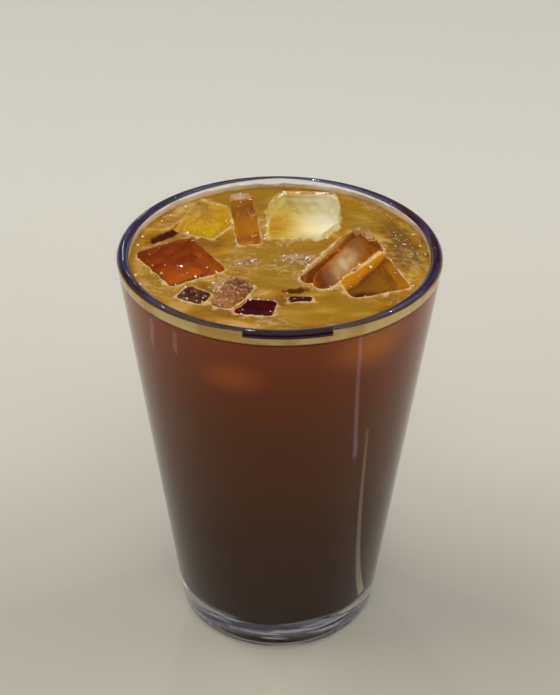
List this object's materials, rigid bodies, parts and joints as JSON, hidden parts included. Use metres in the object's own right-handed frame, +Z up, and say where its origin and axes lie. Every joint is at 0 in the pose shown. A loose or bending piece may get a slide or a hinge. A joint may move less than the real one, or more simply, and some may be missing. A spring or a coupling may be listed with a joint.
{
  "type": "iced americano in a tumbler",
  "caption": "Tapered clear glass tumbler with a round lip and thick base, filled with dark coffee under a thin tan foam, with melting ice blocks breaking the surface.",
  "frame": {"origin": "centre of the base ring that the glass stands on, at table height", "axes": "+Z up out of the mouth of the glass; -Y is the drinker's side"},
  "size_m": [0.09, 0.09, 0.1247],
  "materials": {
    "clear_glass": "clear polished soda-lime glass",
    "coffee": "dark black coffee, reddish brown at the top and nearly black at the bottom",
    "foam": "thin ochre coffee foam with darker swirls and fine bubbles",
    "ice": "wet melting ice, clear with a few bubbles"
  },
  "bodies": {
    "root": {"glass": "clear_glass", "coffee": "coffee", "foam": "foam", "ice_left": "ice", "ice_ridge": "ice", "ice_back_right": "ice", "ice_right": "ice", "ice_back_middle": "ice", "ice_back_left": "ice", "ice_front": "ice", "ice_front_dark": "ice", "ice_left_front": "ice", "ice_chip": "ice"}
  },
  "joints": []
}
